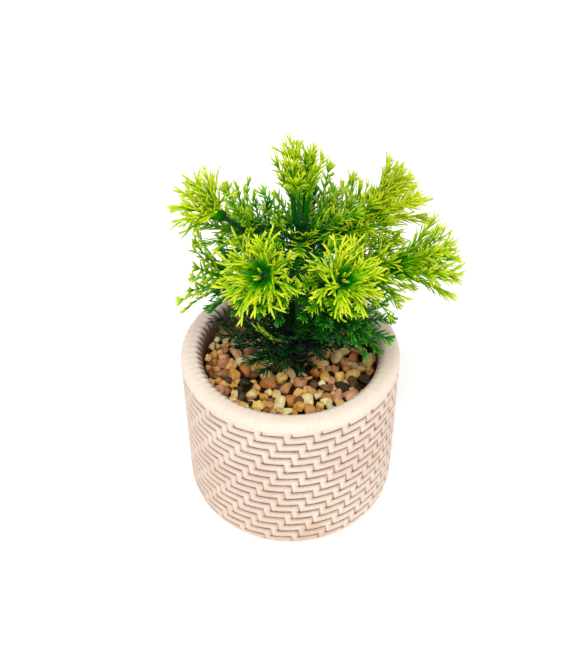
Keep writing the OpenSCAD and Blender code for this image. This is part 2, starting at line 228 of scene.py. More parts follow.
def stem_material():
    """Dark green moulded stem with a faint brown rub and a dull grain."""
    n = Nodes("stem_green")
    stops = [(0.35, srgb(10, 52, 18)), (0.6, srgb(18, 84, 30)), (0.8, srgb(62, 84, 34))]
    colour = n.ramp(n.noise(420.0, 4.0, 0.6), stops)
    n.bump(n.noise(1300.0, 4.0, 0.6), 0.5, 0.0004)
    return n.finish(colour, n.math("ADD", n.math("MULTIPLY", n.noise(600.0), 0.25), 0.38), 0.45)


def stone_material(name):
    """Natural gravel: each stone its own colour, with veins, dust and grain."""
    n = Nodes(name)
    colour, _ = n.paint()
    veins = [(0.3, (0.58, 0.52, 0.46, 1)), (0.55, (1, 1, 1, 1)), (0.8, (1.2, 1.14, 1.0, 1))]
    body = n.mix(1.0, colour, n.ramp(n.noise(330.0, 5.0, 0.65, 0.6), veins), "MULTIPLY")
    grain = n.ramp(n.noise(2600.0, 2.0, 0.7), [(0.32, (0.7, 0.66, 0.62, 1)), (0.5, (1, 1, 1, 1))])
    body = n.mix(0.6, body, grain, "MULTIPLY")
    n.bump(n.noise(1500.0, 5.0, 0.65), 0.5, 0.0004)
    return n.finish(body, n.math("ADD", n.math("MULTIPLY", n.noise(450.0), 0.3), 0.36), 0.4)


def bed_material():
    """Very dark bed under the stones, seen in the gaps between them: painted shade."""
    n = Nodes("bonded_bed")
    stops = [(0.3, srgb(30, 18, 8)), (0.55, srgb(70, 44, 22)), (0.75, srgb(112, 78, 46))]
    colour = n.ramp(n.noise(900.0, 5.0, 0.7), stops)
    n.bump(n.noise(1100.0, 5.0, 0.7), 0.9, 0.001)
    return n.finish(colour, 0.85, 0.25)


def foam_material():
    """Green floral foam with open pores."""
    n = Nodes("foam")
    colour = n.ramp(n.noise(1200.0, 4.0, 0.7), [(0.35, srgb(30, 52, 26)), (0.6, srgb(66, 92, 52))])
    n.bump(n.noise(1600.0, 4.0, 0.7), 0.8, 0.0006)
    return n.finish(colour, 0.9, 0.2)


LEAF = leaf_material("foliage", [
    (0.00, srgb(0, 74, 6)), (0.26, srgb(6, 128, 6)), (0.50, srgb(108, 190, 0)),
    (0.74, srgb(188, 222, 0)), (0.98, srgb(226, 240, 44))])
# Darker copy of the foliage for the low whorls: partly their own deeper green, partly painted shade under the
# plant
LOW_LEAF = leaf_material("low_foliage", [
    (0.00, srgb(2, 14, 4)), (0.07, srgb(5, 36, 10)), (0.35, srgb(10, 74, 26)),
    (0.65, srgb(44, 122, 28)), (0.95, srgb(176, 206, 30))])
STEM = stem_material()
POT = pot_material()
STONE_GROUPS = ("cream", "tan", "dark")
STONES = {key: stone_material("stones_" + key) for key in STONE_GROUPS}


# Pot

TURNS = 96                                   # quarter cells of the weave round the pot
CELL_W = 2 * math.pi * POT_R / TURNS         # a quarter of the weave's period
ROW_H = 4.3                                  # height of a row of the weave
ROWS = 18                                    # the first is the plain band under the lip
FIRST_CUT = 2.2                              # how much lower the first row is than the others
LONG_LEG, CELL = 3, 4                        # quarter cells in the long leg of a step and in a step
RISE, LEAN = 0.4, 0.7                        # slant of the long legs, lean of the short legs
PHASE = math.radians(270.9)                  # a short leg of the first row stands here
COL_AT = (0.03, 0.25, 0.55, 0.80, 0.90, 0.97)    # columns of the mesh in a quarter cell
ROW_AT = (0.02, 0.09, 0.17, 0.28, 0.62, 0.97)    # rings of the mesh in a row
RELIEF = 0.9                                 # depth of the grooves
SLOPE, GROOVE_RUN = 0.30, 0.085              # share of the relief that slopes over a row, width of the rest
FADE_IN, FADE_OUT = 0.6, 0.7                 # where in the first row the relief is full, its loss in the last
LINE_W, LINE_TAIL, SIDE_W = 0.26, 0.3, 0.2   # widths of the painted shade along the grooves
STAIN_TOP, STAIN_RUN, STAIN_LEAST = 45.0, 25.0, 0.12    # tan stains grow from here down
RIBS = 80                                    # fine ribs round the inside of the lip
RIB_RIGHT, RIB_BACK, RIB_LEAST = 0.3, 0.6, 0.03    # strength of the ribs and of their painted shade, against 1 on the left
RIB_DEPTH, RIB_REST = 0.55, 0.06             # depth of a rib on the inside of the lip and elsewhere
RIB_SHADE, REST_SHADE, WALL_SHADE = 1.1, 0.05, 0.12    # painted shade in the ribs there, elsewhere and on the wall
RIB_STEP, RIB_SPAN = 3.0, 3.4                # step of the lip with the deepest ribs, and their spread
LIP_STEPS = 18                               # steps of the lip's half round
LIP_FADE = 0.13                              # loss of the painted inside shade with each of them
LIP_SHADE_LEAST, LIP_SHADE_GAIN = 0.25, 1.6            # painted inside shade on the lip, and how it grows with the ribs
INSIDE_AT = (26, 40, 54, 62, 66, 69, 72, 74.5, 76.2)    # heights of the rings on the inside wall
INSIDE_TOP, INSIDE_RUN = 82.0, 6.0           # the painted inside shade fades towards this height
WOBBLE, WALL_WOBBLE, LIP_WOBBLE = 2.2, 0.12, 0.16    # waves round the pot, and how far they move it
FLOOR_AT, FOOT_AT = (8, 18, 27), (22, 10)    # radii of the rings on the inside floor and under the foot
ROUND_STEPS = 5                              # steps of the roundings at the floor and the foot
FOOT_STAIN, UNDER_STAIN = 0.6, 0.5

# Straight part of the outside: its two ends as radius and height, and its length
WALL_TOP, WALL_FOOT = (POT_R, POT_H - LIP_ROUND), (POT_R - DRAFT, FOOT_ROUND)
STRAIGHT = math.dist(WALL_TOP, WALL_FOOT)


def outer_profile(v):
    """Radius, height and outward normal on the outside, v mm below the lip's rounding."""
    top, foot = WALL_TOP, WALL_FOOT
    v = np.asarray(v, float)
    t = np.clip(v / STRAIGHT, 0, 1)
    a = np.clip((v - STRAIGHT) / FOOT_ROUND, 0, math.pi / 2)
    arc = v > STRAIGHT
    r = np.where(arc, foot[0] - FOOT_ROUND + FOOT_ROUND * np.cos(a), top[0] + (foot[0] - top[0]) * t)
    z = np.where(arc, FOOT_ROUND - FOOT_ROUND * np.sin(a), top[1] + (foot[1] - top[1]) * t)
    nr = np.where(arc, np.cos(a), (top[1] - foot[1]) / STRAIGHT)
    nz = np.where(arc, -np.sin(a), (foot[0] - top[0]) / STRAIGHT)
    return r, z, nr, nz


def cell_u(u, row):
    """Place in a cell of the weave, from -1 to 3 quarter cells."""
    w = np.mod(u + LONG_LEG + row, CELL)
    return np.where(w >= LONG_LEG, w - CELL, w)


def boundary_warp(u, row):
    """How far a row boundary is moved sideways and down."""
    if row in (0, ROWS):
        return np.zeros_like(u), np.zeros_like(u)
    w = cell_u(u, row)
    side = np.where(w >= 0, LEAN / 2 - LEAN * w / LONG_LEG, -LEAN / 2 + LEAN * (w + 1))
    down = np.where(w >= 0, -RISE * w / LONG_LEG, RISE * w)
    return side, down


def pot_rows(u, theta):
    """Rings of the pot from the inside floor over the lip to the foot.

    Each ring holds radius, height, angle, crease and inside (both painted shade) and low, one value to a
    column.
    """
    n = len(u)
    across = np.maximum(-np.cos(theta), RIB_RIGHT * np.cos(theta))
    ribbed = np.maximum(across, RIB_BACK * np.sin(theta)).clip(RIB_LEAST, 1)
    rib = (0.5 + 0.5 * np.cos(RIBS * theta)) ** 3 * ribbed
    # Painted shade on the inner edge of the lip, strongest on the left and at the back
    lip_shade = np.clip(LIP_SHADE_LEAST + LIP_SHADE_GAIN * ribbed, 0, 1)
    wobble = np.array([noise.noise(Vector((WOBBLE * math.cos(t), WOBBLE * math.sin(t), 0.3))) for t in theta])
    rows = []

    def ring(r, z, crease=0.0, inside=0.0, low=0.0, angle=theta):
        ones = np.ones(n)
        rows.append([r * ones, z * ones, angle, crease * ones, inside * ones, low * ones])

    for r in FLOOR_AT:
        ring(r, FLOOR, inside=1.0)
    for k in range(ROUND_STEPS + 1):
        a = math.radians(-90 + 90 * k / ROUND_STEPS)
        ring(INNER_R - INSIDE_ROUND + INSIDE_ROUND * math.cos(a),
             FLOOR + INSIDE_ROUND + INSIDE_ROUND * math.sin(a), inside=1.0)
    for z in INSIDE_AT:
        ring(INNER_R + WALL_WOBBLE * wobble, z, crease=WALL_SHADE * rib,
             inside=min(1.0, (INSIDE_TOP - z) / INSIDE_RUN))
    for k in range(LIP_STEPS + 1):
        turn = 180 * k / LIP_STEPS
        a = math.radians(180 - turn)
        mid = INNER_R + LIP_ROUND if turn < 90 else POT_R - LIP_ROUND
        if turn == 90:
            mid = (INNER_R + POT_R) / 2
        edge = math.exp(-((k - RIB_STEP) / RIB_SPAN) ** 2)
        wave = LIP_WOBBLE * wobble * math.sin(math.radians(turn))
        out = LIP_ROUND - rib * (RIB_DEPTH * edge + RIB_REST) + wave
        ring(mid + out * math.cos(a), POT_H - LIP_ROUND + out * math.sin(a),
             crease=rib * (RIB_SHADE * edge + REST_SHADE), inside=max(0.0, 1.0 - LIP_FADE * k) * lip_shade)
    for row in range(ROWS):
        w = cell_u(u, row)
        side_a, down_a = boundary_warp(u, row)
        side_b, down_b = boundary_warp(u, row + 1)
        for f in ROW_AT:
            below = np.full(n, f) if row else np.ones(n)
            beside = np.where(w >= 0, LONG_LEG - w, 1.0)
            s = np.where(w >= 0, np.minimum(below, beside), np.maximum(below, -w))
            fade = 1.0
            if row == 0:
                fade = min(1.0, f / FADE_IN)
            if row == ROWS - 1:
                fade = 1.0 - FADE_OUT * f * f
            cut = fade * (SLOPE * (1 - s) + (1 - SLOPE) * np.exp(-s / GROOVE_RUN))
            # Painted shade along the long legs of the grooves and beside the short ones
            line = np.where(w >= 0, below, np.maximum(below, -w))
            along = 0.8 * np.exp(-(line / LINE_W) ** 2) + 0.2 * np.exp(-line / LINE_TAIL)
            crease = fade * np.maximum(along, 0.55 * np.exp(-beside / SIDE_W))
            v = (row + f) * ROW_H - FIRST_CUT if row else f * (ROW_H - FIRST_CUT)
            v = v + (1 - f) * down_a + f * down_b
            angle = theta + ((1 - f) * side_a + f * side_b) / POT_R
            r, z, nr, nz = outer_profile(v)
            ring(r - RELIEF * cut * nr, z - RELIEF * cut * nz, crease,
                 low=np.clip((STAIN_TOP - z) / STAIN_RUN, STAIN_LEAST, 1.0), angle=angle)
    start = ROWS * ROW_H - FIRST_CUT
    rest = STRAIGHT + FOOT_ROUND * math.pi / 2 - start
    for k in range(1, ROUND_STEPS + 1):
        r, z, _, _ = outer_profile(start + rest * k / ROUND_STEPS)
        ring(float(r), float(z), low=FOOT_STAIN)
    for r in FOOT_AT:
        ring(r, 0.0, low=UNDER_STAIN)
    return rows


def build_pot():
    u = np.array([k + f for k in range(TURNS) for f in COL_AT])
    n = len(u)
    rows = pot_rows(u, PHASE + u * CELL_W / POT_R)
    verts, paint = [], []
    for r, z, angle, crease, inside, low in rows:
        verts.append(np.stack([r * np.cos(angle), r * np.sin(angle), z], -1))
        paint.append(np.stack([np.clip(crease, 0, 1), inside, low], -1))
    verts = np.vstack(verts + [[[0, 0, FLOOR], [0, 0, 0]]])
    paint = np.vstack(paint + [[[0, 1, 0], [0, 0, UNDER_STAIN]]])
    last = (len(rows) - 1) * n
    floor_mid, foot_mid = last + n, last + n + 1
    faces = []
    for j in range(len(rows) - 1):
        for i in range(n):
            k = (i + 1) % n
            faces.append(((j + 1) * n + i, (j + 1) * n + k, j * n + k, j * n + i))
    for i in range(n):
        k = (i + 1) % n
        faces.append((i, k, floor_mid))
        faces.append((last + k, last + i, foot_mid))
    dress(new_object("woven_pot", verts, faces, POT, paint), "pot", "pot")


# Gravel

PALETTE = {
    "cream": [(250, 212, 134), (246, 200, 112), (254, 232, 174), (244, 206, 140), (250, 216, 158)],
    "tan": [(222, 164, 92), (206, 142, 84), (232, 176, 134), (208, 130, 62), (214, 152, 112), (228, 168, 78)],
    # The near-black olive stones stand for dark gaps between the stones: painted shade; the browns are darker
    # stones
    "dark": [(98, 66, 26), (54, 48, 10), (126, 80, 40), (156, 100, 56), (40, 38, 8)],
}
HEAP_R = INNER_R - 0.3                       # the gravel stays inside this radius
BIG, SMALL, BANKED = (2.45, 3.25), (1.4, 2.4), (1.5, 2.5)    # half sizes of the stones
SMALL_COUNT, SMALL_TRIES, SMALL_SHARES = 150, 9000, (0.46, 0.40, 0.14)
# The heap at the wall, on the left and at the back, takes more dark stones: painted shade there
BANK_TRIES, BANK_SHARES = 3000, (0.3, 0.42, 0.28)
BANK_FROM, BANK_TO, BANK_W = 95, 262, 7.0    # headings between which gravel is heaped at the wall, its width
BANK_H, BANK_SLOPE = 6.8, 0.4


def unit_ball(level):
    """Vertices and triangles of a ball made by splitting an icosahedron."""
    g = (1 + 5 ** 0.5) / 2
    verts = [unit(np.array(v)) for v in (
        (-1, g, 0), (1, g, 0), (-1, -g, 0), (1, -g, 0), (0, -1, g), (0, 1, g),
        (0, -1, -g), (0, 1, -g), (g, 0, -1), (g, 0, 1), (-g, 0, -1), (-g, 0, 1))]
    faces = [(0, 11, 5), (0, 5, 1), (0, 1, 7), (0, 7, 10), (0, 10, 11), (1, 5, 9), (5, 11, 4),
             (11, 10, 2), (10, 7, 6), (7, 1, 8), (3, 9, 4), (3, 4, 2), (3, 2, 6), (3, 6, 8),
             (3, 8, 9), (4, 9, 5), (2, 4, 11), (6, 2, 10), (8, 6, 7), (9, 8, 1)]
    for _ in range(level):
        halves, split = {}, []

        def half(a, b):
            key = (min(a, b), max(a, b))
            if key not in halves:
                verts.append(unit(verts[a] + verts[b]))
                halves[key] = len(verts) - 1
            return halves[key]

        for a, b, c in faces:
            ab, bc, ca = half(a, b), half(b, c), half(c, a)
            split += [(a, ab, ca), (b, bc, ab), (c, ca, bc), (ab, bc, ca)]
        faces = split
    return np.array(verts), faces


BALL, BALL_FACES = unit_ball(2)


def pebble(rng, size):
    """One tumbled stone about its middle: a lumpy ellipsoid with worn flats."""
    p = BALL.copy()
    for _ in range(rng.randint(7, 12)):
        d = unit(np.array([rng.gauss(0, 1) for _ in range(3)]))
        over = np.maximum(p @ d - rng.uniform(0.42, 0.78), 0)
        p -= over[:, None] * d * 0.92
    seed = Vector([rng.uniform(0, 50) for _ in range(3)])
    p *= np.array([1.08 + 0.16 * noise.noise(Vector(q) * 1.7 + seed) for q in p])[:, None]
    p *= np.array([rng.uniform(1.0, 1.35), rng.uniform(0.8, 1.05), rng.uniform(0.68, 0.95)])
    turn = (Matrix.Rotation(rng.uniform(0, 2 * math.pi), 3, "Z")
            @ Matrix.Rotation(rng.gauss(0, 0.5), 3, "X") @ Matrix.Rotation(rng.gauss(0, 0.5), 3, "Y"))
    return (p @ np.array(turn).T) * size


def heap_stones(rng):
    """Middle, size and colour group of each stone.

    The solids' stones come first, then smaller ones between them and those heaped at the wall.
    """
    heap = []
    for k in range(1, int(((INNER_R - STONE_EDGE - STONE_R) / STONE_PITCH) ** 2) + 1):
        a, r = k * STONE_TURN, STONE_PITCH * math.sqrt(k)
        x, y = r * math.cos(a), r * math.sin(a)
        if math.hypot(x - STEM_X, y) < STONE_CLEAR:
            continue
        key = "cream" if k % 7 in (0, 2, 5) else "tan" if k % 7 in (1, 3, 6) else "dark"
        size = rng.uniform(*BIG)
        heap.append((x, y, BED_TOP + STONE_SEAT + size * rng.uniform(0.75, 1.15), size, key))
    wanted = len(heap) + SMALL_COUNT
    for _ in range(SMALL_TRIES):
        if len(heap) == wanted:
            break
        r, a = HEAP_R * math.sqrt(rng.random()), rng.uniform(0, 2 * math.pi)
        size = rng.uniform(*SMALL)
        x, y = r * math.cos(a), r * math.sin(a)
        if r > HEAP_R - size or math.hypot(x - STEM_X, y) < STEM_R + size + 0.3:
            continue
        if min(math.hypot(x - h[0], y - h[1]) / (size + h[3]) for h in heap) < 0.6:
            continue
        key = rng.choices(STONE_GROUPS, SMALL_SHARES)[0]
        heap.append((x, y, BED_TOP + STONE_SEAT + size * rng.uniform(0.8, 1.9), size, key))
    bank = []
    for _ in range(BANK_TRIES):
        size = rng.uniform(*BANKED)
        r = HEAP_R - size - BANK_W * rng.random() ** 1.6
        a = math.radians(rng.uniform(BANK_FROM, BANK_TO))
        x, y = r * math.cos(a), r * math.sin(a)
        z = BED_TOP + BANK_H - BANK_SLOPE * (HEAP_R - size - r) + rng.uniform(0, 0.8)
        if bank and min(math.dist((x, y, z), h[:3]) / (size + h[3]) for h in bank) < 0.8:
            continue
        bank.append((x, y, z, size, rng.choices(STONE_GROUPS, BANK_SHARES)[0]))
    return heap + bank


def build_gravel():
    rng = random.Random(41)
    groups = {key: ([], []) for key in PALETTE}
    for x, y, z, size, key in heap_stones(rng):
        p = pebble(rng, size) + np.array([x, y, z])
        p[:, 2] = np.maximum(p[:, 2], BED_TOP + 0.05)
        p[:, :2] *= np.minimum(1.0, HEAP_R / np.maximum(np.hypot(p[:, 0], p[:, 1]), 1e-6))[:, None]
        base = np.array(srgb(*rng.choice(PALETTE[key]))[:3]) * rng.uniform(0.9, 1.2)
        groups[key][0].append(p)
        groups[key][1].append(np.tile(np.clip(base, 0, 1), (len(p), 1)))
    for key, (shapes, colours) in groups.items():
        faces = [tuple(i + k * len(BALL) for i in f) for k in range(len(shapes)) for f in BALL_FACES]
        obj = new_object("gravel_" + key, np.concatenate(shapes), faces, STONES[key], np.concatenate(colours))
        dress(obj, "pot", "stones_" + key)


# Foliage

NEEDLE_AT = np.array([0.0, 0.5, 0.86])       # rings along a needle
NEEDLE_W = np.array([0.9, 1.0, 0.62])        # its width at these rings, against its greatest width
NEEDLE_FLAT = 0.75                           # its thickness against its width
BAND_T = 0.8                                 # thickness of a strap at its hub
NEEDLE_SIDES, BAND_SIDES, HUB_SIDES = 4, 6, 18


class Spray:
    """Collects the closed shells of one whorl and their paint: brightness with its painted light and shade,
    strap tone, needle tone.
    """

    def __init__(self):
        self.verts, self.faces, self.paint, self.count = [], [], [], 0

    def keep(self, verts, faces, bright, tones):
        self.verts.append(verts)
        self.faces += [tuple(self.count + i for i in f) for f in faces]
        strap_tone, needle_tone = (np.full(len(bright), tone) for tone in tones)
        self.paint.append(np.stack([bright, strap_tone, needle_tone], -1))
        self.count += len(verts)

    def tube(self, mid, side, up, half_w, half_t, bright, tones, sides, tip):
        """Closed shell along a middle line that ends in a point."""
        n = len(mid)
        ang = 2 * math.pi * np.arange(sides) / sides
        wide = (side * half_w[:, None])[:, None, :]
        thick = (up * half_t[:, None])[:, None, :]
        ring = mid[:, None, :] + np.cos(ang)[None, :, None] * wide + np.sin(ang)[None, :, None] * thick
        faces = [tuple(reversed(range(sides)))]
        for j in range(n - 1):
            for k in range(sides):
                m = (k + 1) % sides
                faces.append((j * sides + k, j * sides + m, (j + 1) * sides + m, (j + 1) * sides + k))
        last = (n - 1) * sides
        faces += [(last + k, last + (k + 1) % sides, last + sides) for k in range(sides)]
        light = np.append(np.repeat(bright, sides), bright[-1])
        self.keep(np.vstack([ring.reshape(-1, 3), tip]), faces, light, tones)

    def needle(self, root, way, up, length, width, bend, bright, tones):
        """A moulded needle: nearly even in width, with a blunt tip."""
        s = NEEDLE_AT
        mid = root + way * (length * s)[:, None] + bend * (length * s * s)[:, None]
        wide = width / 2 * NEEDLE_W
        across = unit(np.cross(up, way))
        high = np.cross(way, across)
        light = bright[0] + (bright[1] - bright[0]) * s
        side, face = (np.tile(v, (len(s), 1)) for v in (across, high))
        tip = root + (way + bend) * length
        self.tube(mid, side, face, wide, wide * NEEDLE_FLAT, light, tones, NEEDLE_SIDES, tip)

    def hub(self, bore):
        """Moulded sleeve with bevelled edges."""
        seg, edge, top = HUB_SIDES, bore + HUB_WALL, HUB_H
        prof = [(bore, 0.3), (bore + 0.3, 0.0), (edge - 0.35, 0.0), (edge, 0.45),
                (edge, top - 0.5), (edge - 0.4, top), (bore + 0.25, top), (bore, top - 0.3)]
        ang = 2 * math.pi * np.arange(seg) / seg
        verts = np.array([[r * math.cos(a), r * math.sin(a), z] for r, z in prof for a in ang])
        faces = []
        for j in range(len(prof)):
            below, above = j * seg, ((j + 1) % len(prof)) * seg
            for k in range(seg):
                m = (k + 1) % seg
                faces.append((below + k, below + m, above + m, above + k))
        self.keep(verts, faces, np.full(len(verts), 0.02), (0.4, 0.5))


class StrapLine:
    """Middle line of a strap that leaves its hub at one opening and ends at another."""

    def __init__(self, hub_r, length, spread, turn, roll, drift):
        self.length = length
        self.ends = [np.array([math.sin(math.radians(a)), math.cos(math.radians(a))]) for a in spread]
        self.start = np.array([hub_r - 0.5, HUB_H / 2])
        self.mid = self.start + length / 2 * self.ends[0]
        self.end = self.mid + length / 2 * self.ends[1]
        self.out = np.array([math.cos(turn), math.sin(turn), 0.0])
        self.tang = np.array([-math.sin(turn), math.cos(turn), 0.0])
        self.axis = np.array([0.0, 0.0, 1.0])
        self.roll, self.drift = roll, drift * length

    def at(self, t):
        q = (1 - t) ** 2 * self.start + 2 * t * (1 - t) * self.mid + t * t * self.end
        return self.out * q[0] + self.axis * q[1] + self.tang * (self.drift * t * t)

    def frame(self, t):
        """Way along the strap, side across it, and the face that looks at the axis."""
        w = unit((1 - t) * self.ends[0] + t * self.ends[1])
        way = self.out * w[0] + self.axis * w[1]
        up = -self.out * w[1] + self.axis * w[0]
        c, s = math.cos(self.roll), math.sin(self.roll)
        return way, self.tang * c + up * s, up * c - self.tang * s


# Brightness of a band at its start and its end, of a needle at its root and its tip: dark roots and bright
# ends of the moulding, with painted shade in the dim levels and painted light in pale and tipped
GLOW = {
    "bright": (0.26, 0.66, 0.56, 1.00),
    "pale": (0.40, 0.88, 0.86, 1.32),
    "plume": (0.16, 0.60, 0.48, 1.06),
    "mid": (0.16, 0.52, 0.42, 1.00),
    "dim": (0.14, 0.42, 0.32, 0.92),
    "dusk": (0.00, 0.12, 0.06, 0.42),
    "night": (0.00, 0.08, 0.02, 0.28),
    "low": (0.00, 0.20, 0.08, 0.50),
    "shade": (0.00, 0.12, 0.06, 0.34),
    "tipped": (0.70, 0.72, 0.60, 1.10),
    "plain": (0.62, 0.70, 0.45, 0.66),
}

# Width of a strap, then length, width and chance of a fork of its needles. Those of a frond are a share of
# the frond's length, and END stands for the last ones of a plume.
ROSETTE_BAND, ROSETTE_REACH, ROSETTE_W, ROSETTE_FORK = 2.4, (6.4, 8.8), 0.98, 0.5
PLUME_BAND, PLUME_REACH, PLUME_W, PLUME_FORK = 1.4, (6.8, 9.4), 0.76, 0.5
END_REACH, END_W, END_FORK = (5.4, 7.2), 0.84, 0.45
FROND_BAND, FROND_SHARE, FROND_W, FROND_FORK = 1.6, 0.33, 0.8, 0.45
SPRIG_SHARE, SPRIG_W = 0.29, 1.15
# Needles that stand up from the middle of a rosette
BUDS, BUD_REACH, BUD_W, BUD_LEAN = 5, (6, 9), 1.2, 0.22


def band(spray, line, glow, width, tone, bare):
    """The flat strap itself: widest where it leaves the funnel, narrow where the needles are."""
    ts = np.linspace(0, 0.97, 10)
    frames = [line.frame(t) for t in ts]
    half_w = width / 2 * (0.66 + 0.34 * smooth_step(0, bare, ts)) * (1 - 0.62 * smooth_step(bare, 0.9, ts))
    start, end = GLOW[glow][:2]
    light = start + (end - start) * smooth_step(bare * 0.8, bare * 0.8 + 0.4, ts)
    mid = np.array([line.at(t) for t in ts])
    side = np.array([f[1] for f in frames])
    up = np.array([f[2] for f in frames])
    half_t = BAND_T / 2 * (1 - 0.35 * ts)
    spray.tube(mid, side, up, half_w, half_t, light, (tone, 0.45), BAND_SIDES, line.at(1.0))


def forked_needle(spray, rng, root, way, up, reach, width, light, tone, fork):
    """A slightly bent needle; with the chance fork it carries a second tip."""
    tones = (tone, rng.random())
    high = unit(up - way * float(up @ way))
    bend = high * rng.uniform(-0.2, 0.08) + np.cross(high, way) * rng.uniform(-0.12, 0.12)
    spray.needle(root, way, high, reach, width, bend, light, tones)
    if rng.random() < fork:
        cross = np.cross(high, way) * rng.choice((-1, 1))
        q, a = rng.uniform(0.38, 0.62), math.radians(rng.uniform(17, 30))
        d = unit(way * math.cos(a) + cross * math.sin(a) + high * rng.uniform(-0.1, 0.2))
        foot = root + way * reach * q + bend * reach * q * q
        shade = (light[0] + (light[1] - light[0]) * q, light[1])
        rest = reach * (1.02 - q) * rng.uniform(0.8, 1.05)
        spray.needle(foot, d, high, rest, width * 0.92, np.zeros(3), shade, tones)


def rosette_strap(spray, rng, line, glow, count, bare):
    """A wide strap of a funnel wall, set with long needles that fan out."""
    light = GLOW[glow][2:]
    tone = rng.random()
    band(spray, line, glow, ROSETTE_BAND, tone, bare)
    for k in range(count):
        f = k / (count - 1)
        t = min(0.95, bare + (0.93 - bare) * f + rng.uniform(-0.03, 0.03))
        way, side, up = line.frame(t)
        phi = math.radians(rng.uniform(-50, 50) * (1 - 0.2 * f))
        lift = rng.uniform(-0.15, 0.3) + (1 - f) * rng.uniform(0.0, 0.3)
        d = unit(way * math.cos(phi) + side * math.sin(phi) + up * lift)
        root = line.at(t) + side * rng.uniform(-0.5, 0.5)
        reach = rng.uniform(*ROSETTE_REACH)
        forked_needle(spray, rng, root, d, up, reach, ROSETTE_W, light, tone, ROSETTE_FORK)


def plume_strap(spray, rng, line, glow, pairs, bare):
    """A strap that is bare near the hub and then carries long needles on both sides."""
    light = GLOW[glow][2:]
    tone = rng.random()
    band(spray, line, glow, PLUME_BAND, tone, bare)
    for k in range(pairs):
        f = k / max(1, pairs - 1)
        for sign in (-1, 1):
            t = min(0.95, bare + (0.92 - bare) * f + rng.uniform(-0.03, 0.03) + 0.02 * sign)
            way, side, up = line.frame(t)
            phi = math.radians(20 + 6 * f + rng.gauss(0, 7))
            d = unit(way * math.cos(phi) + side * sign * math.sin(phi) + up * rng.uniform(-0.35, 0.35))
            shade = (light[0] * (0.5 + 0.5 * f), light[1] * (0.68 + 0.32 * f))
            reach = rng.uniform(*PLUME_REACH) * (0.7 + 0.3 * f)
            forked_needle(spray, rng, line.at(t), d, up, reach, PLUME_W, shade, tone, PLUME_FORK)
    way, side, up = line.frame(0.95)
    for a in (-17, 0, 17):
        phi = math.radians(a + rng.gauss(0, 4))
        d = unit(way * math.cos(phi) + side * math.sin(phi) + up * rng.uniform(-0.1, 0.25))
        reach = rng.uniform(*END_REACH)
        forked_needle(spray, rng, line.at(0.93), d, up, reach, END_W, light, tone, END_FORK)


def frond_strap(spray, rng, line, glow, pairs, bare, width=FROND_W, share=FROND_SHARE):
    """A fishbone strap: needles in pairs, shorter towards its end."""
    light = GLOW[glow][2:]
    tone = rng.random()
    band(spray, line, glow, FROND_BAND, tone, bare)
    for k in range(pairs):
        f = k / max(1, pairs - 1)
        for sign in (-1, 1):
            t = min(0.96, bare + (0.95 - bare) * f + rng.uniform(-0.02, 0.02) + 0.015 * sign)
            way, side, up = line.frame(t)
            phi = math.radians(46 - 12 * f + rng.gauss(0, 5))
            d = unit(way * math.cos(phi) + side * sign * math.sin(phi) + up * rng.uniform(-0.1, 0.4))
            reach = line.length * (share - 0.10 * f) * rng.uniform(0.86, 1.1)
            forked_needle(spray, rng, line.at(t), d, up, reach, width, light, tone, FROND_FORK)
    way, side, up = line.frame(0.95)
    for a in (-20, 0, 20):
        phi = math.radians(a)
        d = unit(way * math.cos(phi) + side * math.sin(phi) + up * rng.uniform(-0.05, 0.2))
        reach = 0.24 * line.length * rng.uniform(0.85, 1.1)
        forked_needle(spray, rng, line.at(0.94), d, up, reach, width, light, tone, 0.3)


def sprig_strap(spray, rng, line, glow, pairs, bare):
    """A fishbone strap with thick, short needles."""
    frond_strap(spray, rng, line, glow, pairs, bare, SPRIG_W, SPRIG_SHARE)


def add_ring(spray, rng, hub_r, kind, n, length, spread, first, glow, pairs, bare, foot=0.0, clear=(0, 0)):
    """Straps evenly round a hub, each a little off.

    kind is the function of a strap, n their count, spread their opening at the hub and at the end, and first
    the heading of the first one. pairs is the count of needles or pairs of them, and bare the share of the
    strap before them. foot moves the ring along the axis, on its own sleeve. No strap stands between the two
    headings of clear.
    """
    before = len(spray.verts)
    if foot:
        spray.hub(hub_r - HUB_WALL)
    for k in range(n):
        turn = first + 2 * math.pi * (k / n + rng.uniform(-0.12, 0.12) / max(n, 6))
        if clear[0] < math.degrees(turn) % 360 < clear[1]:
            continue
        tilt = rng.gauss(0, 3.0)
        opening = (spread[0] + tilt, spread[1] + 1.4 * tilt)
        size = length * rng.uniform(0.93, 1.05)
        line = StrapLine(hub_r, size, opening, turn, rng.gauss(0, 0.12), rng.gauss(0, 0.05))
        kind(spray, rng, line, glow, pairs, bare)
    for part in spray.verts[before:]:
        part[:, 2] += foot


def whorl(name, node, body, place, stem_r, rings, seed, buds=0, low=False):
    """Whorl of straps on a hub, made of the rings that add_ring describes."""
    rng = random.Random(seed)
    spray = Spray()
    bore = stem_r + HUB_GAP
    spray.hub(bore)
    for ring in rings:
        add_ring(spray, rng, bore + HUB_WALL, *ring)
    for _ in range(buds):
        a = rng.uniform(0, 2 * math.pi)
        way = unit(np.array([BUD_LEAN * math.cos(a), BUD_LEAN * math.sin(a), 1.0]))
        up = np.array([math.sin(a), -math.cos(a), 0.0])
        root = np.array([0.5 * math.cos(a), 0.5 * math.sin(a), HUB_H])
        spray.needle(root, way, up, rng.uniform(*BUD_REACH), BUD_W, np.zeros(3), (0.3, 0.95), (0.9, 0.8))
    verts = np.concatenate(spray.verts)
    verts = verts @ np.array(place.to_3x3()).T + np.array(place.to_translation())
    obj = new_object(name, verts, spray.faces, LOW_LEAF if low else LEAF, np.concatenate(spray.paint))
    dress(obj, body, node)


def on_stem(rise):
    """Place on the main stem's axis, rise mm over the lip."""
    return Matrix.Translation((STEM_X, 0, POT_H + rise))


